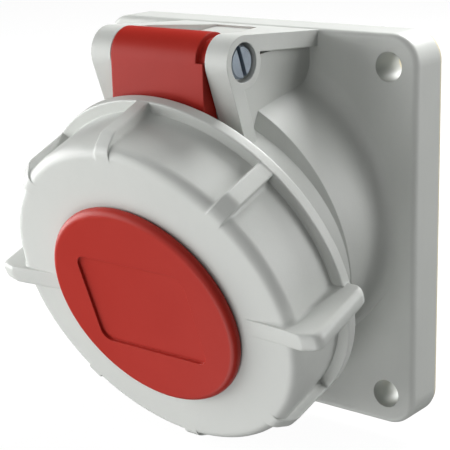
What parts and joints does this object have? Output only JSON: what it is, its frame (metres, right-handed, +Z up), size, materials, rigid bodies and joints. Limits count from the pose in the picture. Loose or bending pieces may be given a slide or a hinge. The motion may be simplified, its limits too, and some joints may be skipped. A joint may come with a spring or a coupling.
{
  "type": "industrial panel socket",
  "caption": "Angled panel-mount power socket with square flange, tilted collar, sprung hinged lid and turning bayonet ring with grip wings.",
  "frame": {"origin": "centre of the flange's four fixing holes on the panel face (rear of the flange gasket)", "axes": "+Y into the panel, +Z up, +X to the right seen from the front; the collar points forward and 20 degrees down"},
  "size_m": [0.1032, 0.0983, 0.1074],
  "materials": {
    "housing_grey": "satin moulded",
    "ring_grey": "satin moulded",
    "lid_red": "satin moulded",
    "cap_red": "satin moulded",
    "gasket_cream": "matt",
    "seal_black": "matt",
    "carrier_grey": "matt",
    "brass": "drawn",
    "screw_steel": "zinc plated",
    "pin_zinc": "blue zinc plated",
    "spring_steel": "drawn wire"
  },
  "bodies": {
    "housing": {"flange_housing": "housing_grey", "flange_gasket": "gasket_cream", "contact_insert": "carrier_grey", "terminal_base": "carrier_grey", "insert_screw": "screw_steel", "carrier_seal": "seal_black", "carrier_screws": "screw_steel", "earth_contact": "brass", "neutral_contact": "brass", "line_1_contact": "brass", "line_2_contact": "brass", "line_3_contact": "brass", "sleeve_springs": "spring_steel", "earth_sleeve_spring": "spring_steel", "terminal_screws": "screw_steel", "hinge_pin": "pin_zinc", "pin_clip": "spring_steel", "hinge_spring": "spring_steel"},
    "lid": {"lid": "lid_red", "lid_gasket": "seal_black", "lid_cap": "cap_red", "cap_screws": "screw_steel"},
    "ring": {"bayonet_ring": "ring_grey"}
  },
  "joints": [
    {"name": "lid_hinge", "type": "hinge", "parent": "housing", "child": "lid", "pos_m": [0, -0.04172, 0.0454], "axis": [-1, 0, 0], "range_deg": [0, 115], "stiffness_Nm_per_rad": 0.06, "springref_deg": -57.3},
    {"name": "ring_turn", "type": "hinge", "parent": "lid", "child": "ring", "pos_m": [0, -0.03501, -0.00665], "axis": [0, 0.9397, 0.342], "range_deg": [0, 38]}
  ]
}
